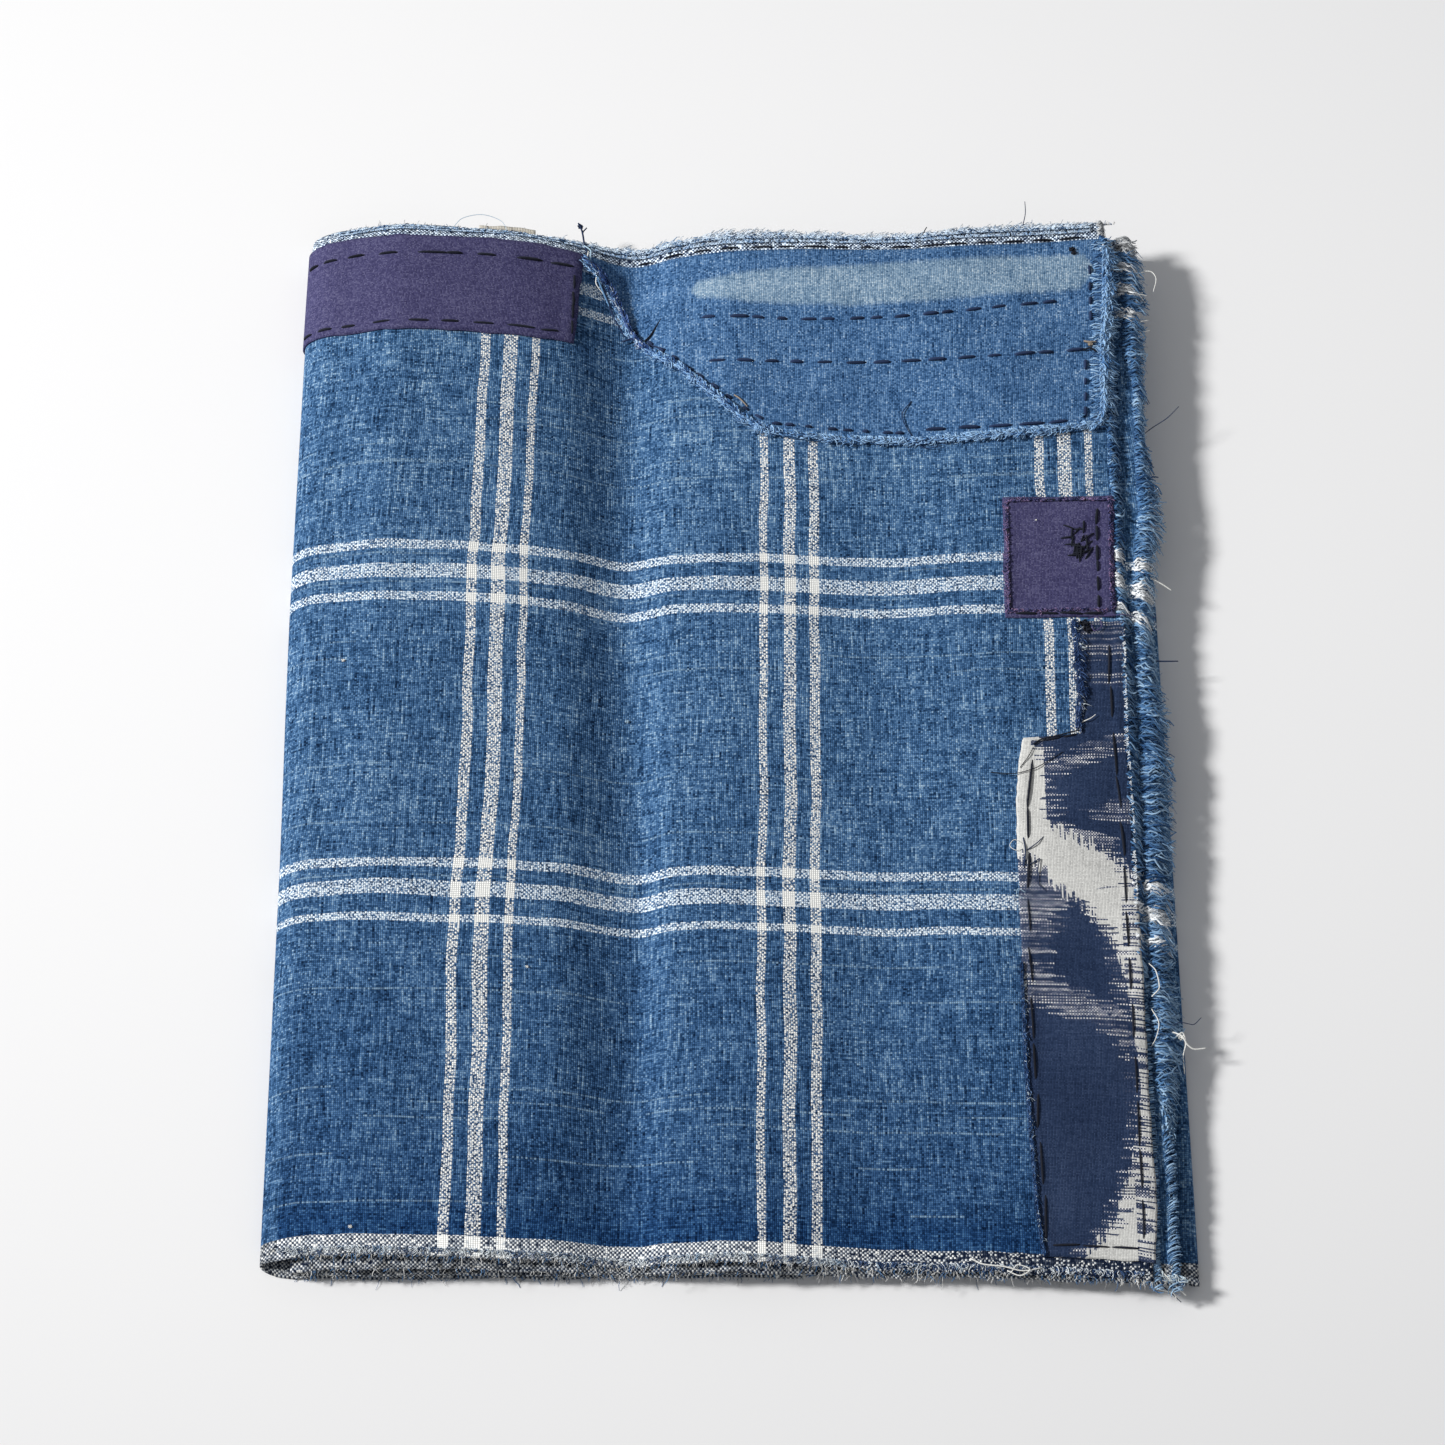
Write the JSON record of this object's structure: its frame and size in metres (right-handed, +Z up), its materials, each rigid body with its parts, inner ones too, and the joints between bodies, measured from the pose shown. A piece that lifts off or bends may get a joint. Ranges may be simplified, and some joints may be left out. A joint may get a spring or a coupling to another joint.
{
  "type": "boro cloth",
  "caption": "Handwoven indigo cotton strip with sewn patches and frayed ends, folded in quarters and lying flat.",
  "frame": {"origin": "under the middle of the folded cloth, on the surface that it lies on", "axes": "+X along the strip's length, towards its frayed cut ends; +Y across the loom, towards the far selvedge; +Z up"},
  "size_m": [0.2638, 0.3464, 0.0226],
  "materials": {
    "indigo_cotton": "handwoven, faded, with white striped check",
    "patch_indigo": "handwoven, with a faded band",
    "purple_cotton": "plain weave, faded",
    "ikat_cotton": "ikat in indigo and off-white",
    "off_white_cotton": "plain weave",
    "frayed_yarn": "loose cotton yarn"
  },
  "bodies": {
    "root": {"cloth": "indigo_cotton", "patch_purple_long": "purple_cotton", "patch_indigo": "patch_indigo", "patch_purple_square": "purple_cotton", "patch_ikat": "ikat_cotton", "patch_scrap": "off_white_cotton", "fringe_top_layer": "frayed_yarn", "fringe_second_layer": "frayed_yarn", "fringe_indigo_patch": "frayed_yarn"}
  },
  "joints": []
}
